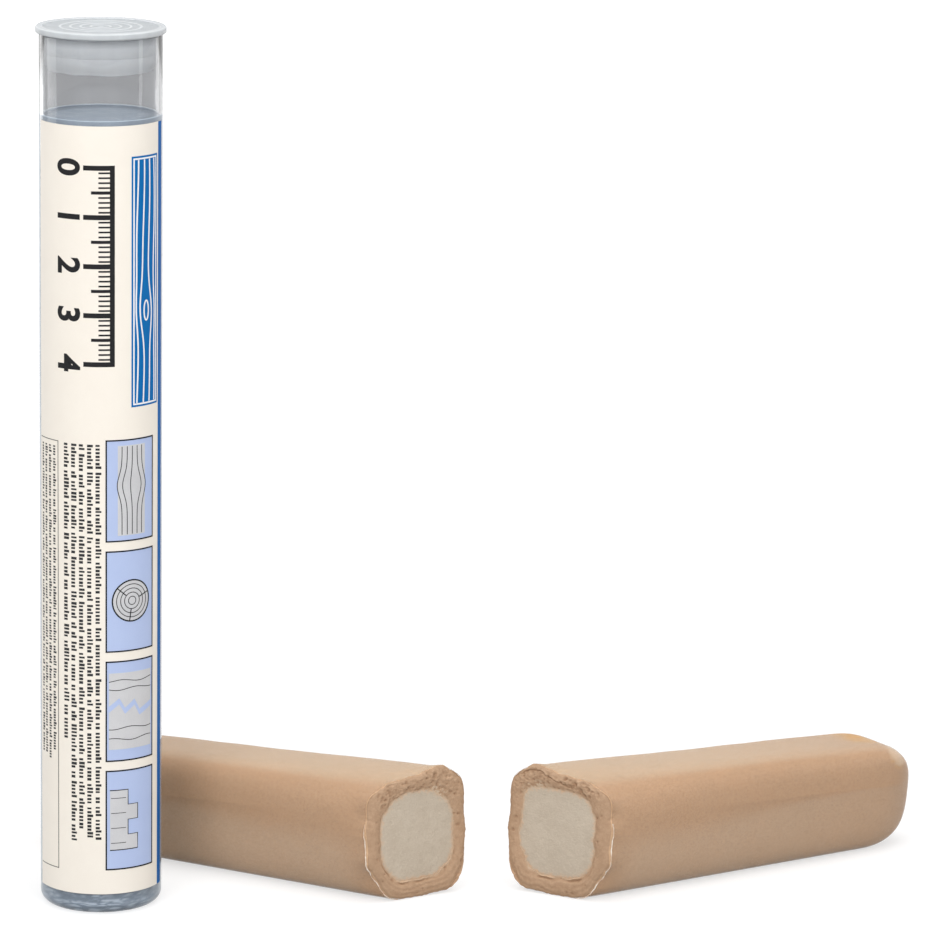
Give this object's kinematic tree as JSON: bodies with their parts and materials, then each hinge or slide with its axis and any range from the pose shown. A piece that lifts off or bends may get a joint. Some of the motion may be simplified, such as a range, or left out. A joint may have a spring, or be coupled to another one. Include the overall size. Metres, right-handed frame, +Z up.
{
  "type": "wood repair putty stick",
  "caption": "Wood repair putty stick in a clear labelled tube with a plug cap, with a cut stick beside it that shows its outer compound and core.",
  "frame": {"origin": "centre of the tube's flat base, on the floor", "axes": "+Z up along the tube, -Y towards the middle of the front label, +X towards the cut halves"},
  "size_m": [0.1847, 0.0707, 0.1825],
  "materials": {
    "clear_plastic": "gloss",
    "cap_plastic": "satin",
    "label_paper": "satin",
    "wrap_foil": "satin",
    "outer_compound": "matte",
    "core_compound": "matte",
    "clear_film": "gloss"
  },
  "bodies": {
    "tube": {"tube": "clear_plastic", "label": "label_paper"},
    "stick": {"stick_wrapper": "wrap_foil", "stick_shell": "outer_compound", "stick_core": "core_compound"},
    "cap": {"cap": "cap_plastic"},
    "left_half": {"left_film": "clear_film", "left_shell": "outer_compound", "left_core": "core_compound"},
    "right_half": {"right_film": "clear_film", "right_shell": "outer_compound", "right_core": "core_compound"}
  },
  "joints": [
    {"name": "stick_draw", "type": "slide", "parent": "tube", "child": "stick", "axis": [0, 0, 1], "range_m": [0, 0.185]},
    {"name": "cap_pull", "type": "slide", "parent": "stick", "child": "cap", "axis": [0, 0, 1], "range_m": [0, 0.06]},
    {"name": "left_lift", "type": "slide", "parent": "tube", "child": "left_half", "axis": [0, 0, 1], "range_m": [0, 0.1]},
    {"name": "right_lift", "type": "slide", "parent": "tube", "child": "right_half", "axis": [0, 0, 1], "range_m": [0, 0.1]}
  ]
}
